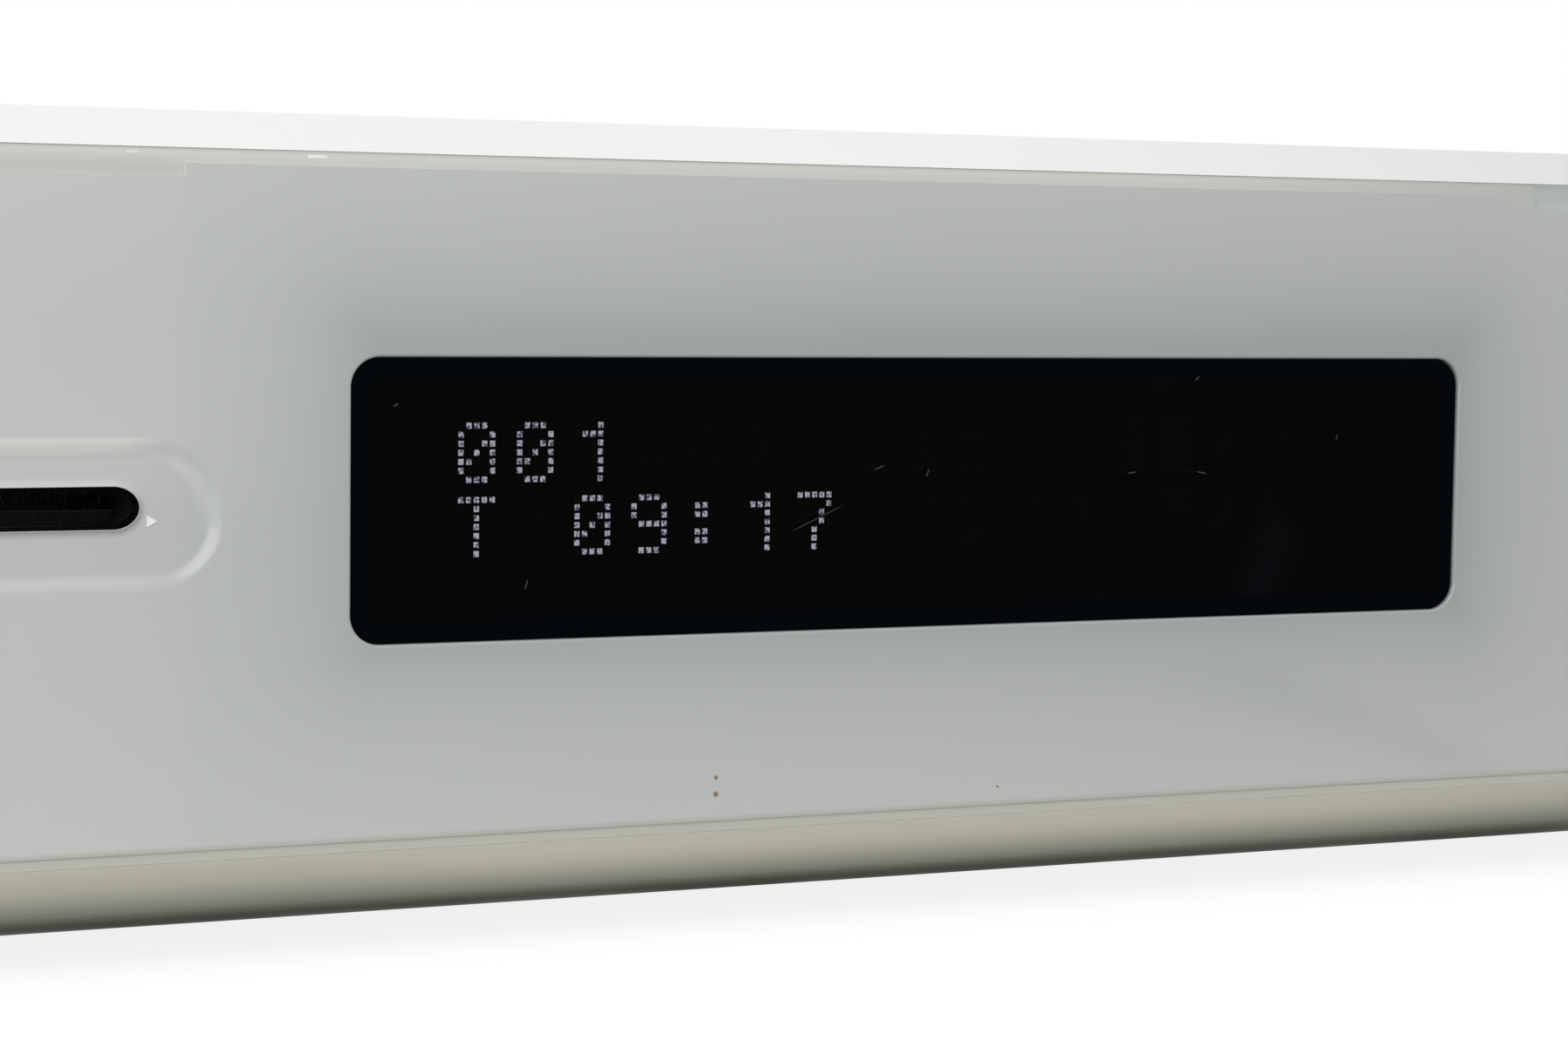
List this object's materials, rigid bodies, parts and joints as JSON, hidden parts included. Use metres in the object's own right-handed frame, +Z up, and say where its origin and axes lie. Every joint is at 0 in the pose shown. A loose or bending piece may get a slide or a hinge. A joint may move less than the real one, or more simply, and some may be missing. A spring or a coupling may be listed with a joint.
{
  "type": "disc receiver",
  "caption": "Slot-loading disc receiver with a dot-matrix display behind a smoked window, rear sockets and a disc drive inside.",
  "frame": {"origin": "on the floor, under the middle of the whole object", "axes": "+X to the right seen from the front, +Y to the back, +Z up"},
  "size_m": [0.4034, 0.27, 0.085],
  "materials": {
    "cover_white": "glossy white",
    "shell_beige": "glossy warm beige",
    "carrier_warm": "glossy warm grey",
    "fascia_grey": "glossy cool grey, slightly translucent",
    "lens_black": "smoked, polished",
    "liner_black": "moulded black",
    "felt_black": "felt",
    "button_white": "glossy",
    "tube_glass": "dark tube glass",
    "board_green": "solder mask",
    "black_plastic": "fine grain",
    "pad_rubber": "rubber",
    "panel_steel": "powder coated grey",
    "bright_metal": "plain steel",
    "screw_steel": "plated",
    "sink_aluminium": "extruded",
    "ferrite": "ferrite and winding",
    "can_sleeve": "printed sleeve",
    "cable_white": "flat cable",
    "lead_sleeve": "insulation",
    "gear_white": "acetal",
    "pinion_brass": "cut brass",
    "optic": "coated"
  },
  "bodies": {
    "root": {"top_cover": "cover_white", "lower_shell": "shell_beige", "rear_panel": "panel_steel", "front_carrier": "carrier_warm", "front_fascia": "fascia_grey", "display_lens": "lens_black", "display_tube": "tube_glass", "display_board": "board_green", "slot_liner": "liner_black", "dust_lips": "felt_black", "feet": "black_plastic", "foot_pads": "pad_rubber", "key_switches": "black_plastic", "key_boards": "board_green", "media_port": "bright_metal", "headphone_jack": "black_plastic", "main_board": "board_green", "power_board": "board_green", "amplifier_board": "board_green", "heat_sink": "sink_aluminium", "transformer": "ferrite", "capacitors": "can_sleeve", "video_port": "bright_metal", "network_port": "bright_metal", "optical_port": "black_plastic", "phono_jacks": "black_plastic", "antenna_jack": "bright_metal", "speaker_sockets": "black_plastic", "mains_inlet": "black_plastic", "mains_leads": "lead_sleeve", "flat_cables": "cable_white", "fan_frame": "black_plastic", "drive_chassis": "bright_metal", "drive_cover": "bright_metal", "loading_motor": "bright_metal", "clamp_pin": "bright_metal", "cover_screws": "screw_steel", "rear_screws": "screw_steel", "inner_screws": "screw_steel"},
    "power_button": {"power_button": "button_white"},
    "eject_button": {"eject_button": "button_white"},
    "play_button": {"play_button": "button_white"},
    "source_button": {"source_button": "button_white"},
    "volume_down_button": {"volume_down_button": "button_white"},
    "volume_up_button": {"volume_up_button": "button_white"},
    "fan_rotor": {"fan_rotor": "black_plastic"},
    "feed_roller": {"feed_roller": "pad_rubber", "roller_shaft": "bright_metal"},
    "loading_gear": {"loading_gear": "gear_white"},
    "motor_pinion": {"motor_pinion": "pinion_brass"},
    "traverse": {"traverse_frame": "black_plastic", "spindle_motor": "bright_metal", "guide_rods": "bright_metal", "sled_motor": "bright_metal"},
    "turntable": {"turntable": "gear_white"},
    "pickup": {"pickup_sled": "black_plastic", "pickup_lens": "optic"},
    "lead_screw": {"lead_screw": "bright_metal"},
    "clamp_arm": {"clamp_arm": "bright_metal"},
    "clamper": {"clamper": "gear_white"}
  },
  "joints": [
    {"name": "power_press", "type": "slide", "parent": "root", "child": "power_button", "axis": [0, 1, 0], "range_m": [0, 0.0008], "stiffness_N_per_m": 800, "springref_m": -0.0005},
    {"name": "eject_press", "type": "slide", "parent": "root", "child": "eject_button", "axis": [0, 1, 0], "range_m": [0, 0.0008], "stiffness_N_per_m": 800, "springref_m": -0.0005},
    {"name": "play_press", "type": "slide", "parent": "root", "child": "play_button", "axis": [0, 1, 0], "range_m": [0, 0.0008], "stiffness_N_per_m": 800, "springref_m": -0.0005},
    {"name": "source_press", "type": "slide", "parent": "root", "child": "source_button", "axis": [0, 1, 0], "range_m": [0, 0.0008], "stiffness_N_per_m": 800, "springref_m": -0.0005},
    {"name": "volume_down_press", "type": "slide", "parent": "root", "child": "volume_down_button", "axis": [0, 1, 0], "range_m": [0, 0.0008], "stiffness_N_per_m": 800, "springref_m": -0.0005},
    {"name": "volume_up_press", "type": "slide", "parent": "root", "child": "volume_up_button", "axis": [0, 1, 0], "range_m": [0, 0.0008], "stiffness_N_per_m": 800, "springref_m": -0.0005},
    {"name": "fan_spin", "type": "hinge", "parent": "root", "child": "fan_rotor", "pos_m": [0.039, 0.1258, 0.0444], "axis": [0, 1, 0], "continuous": true},
    {"name": "roller_spin", "type": "hinge", "parent": "root", "child": "feed_roller", "pos_m": [-0.07685, -0.11485, 0.0415], "axis": [1, 0, 0], "continuous": true},
    {"name": "loading_gear_spin", "type": "hinge", "parent": "root", "child": "loading_gear", "pos_m": [-0.14585, -0.10226, 0.03692], "axis": [1, 0, 0], "continuous": true},
    {"name": "motor_pinion_spin", "type": "hinge", "parent": "root", "child": "motor_pinion", "pos_m": [-0.14585, -0.09126, 0.03692], "axis": [1, 0, 0], "continuous": true},
    {"name": "traverse_tilt", "type": "hinge", "parent": "root", "child": "traverse", "pos_m": [-0.07685, 0.04315, 0.0375], "axis": [1, 0, 0], "range_deg": [0, 4]},
    {"name": "turntable_spin", "type": "hinge", "parent": "traverse", "child": "turntable", "pos_m": [-0.07685, -0.04085, 0.0455], "axis": [0, 0, 1], "continuous": true},
    {"name": "pickup_slide", "type": "slide", "parent": "traverse", "child": "pickup", "axis": [0, 1, 0], "range_m": [0, 0.034]},
    {"name": "lead_screw_spin", "type": "hinge", "parent": "traverse", "child": "lead_screw", "pos_m": [-0.04185, -0.04085, 0.038], "axis": [0, 1, 0], "range_deg": [0, 4081]},
    {"name": "clamp_lift", "type": "hinge", "parent": "root", "child": "clamp_arm", "pos_m": [-0.07685, 0.04915, 0.0516], "axis": [-1, 0, 0], "range_deg": [0, 2.2]},
    {"name": "clamper_spin", "type": "hinge", "parent": "clamp_arm", "child": "clamper", "pos_m": [-0.07685, -0.04085, 0.051], "axis": [0, 0, 1], "continuous": true}
  ],
  "couplings": [
    {"joint": "loading_gear_spin", "follows": "roller_spin", "ratio": -0.69231},
    {"joint": "motor_pinion_spin", "follows": "roller_spin", "ratio": 1.8},
    {"joint": "lead_screw_spin", "follows": "pickup_slide", "rad_per_m": 2094.4}
  ]
}
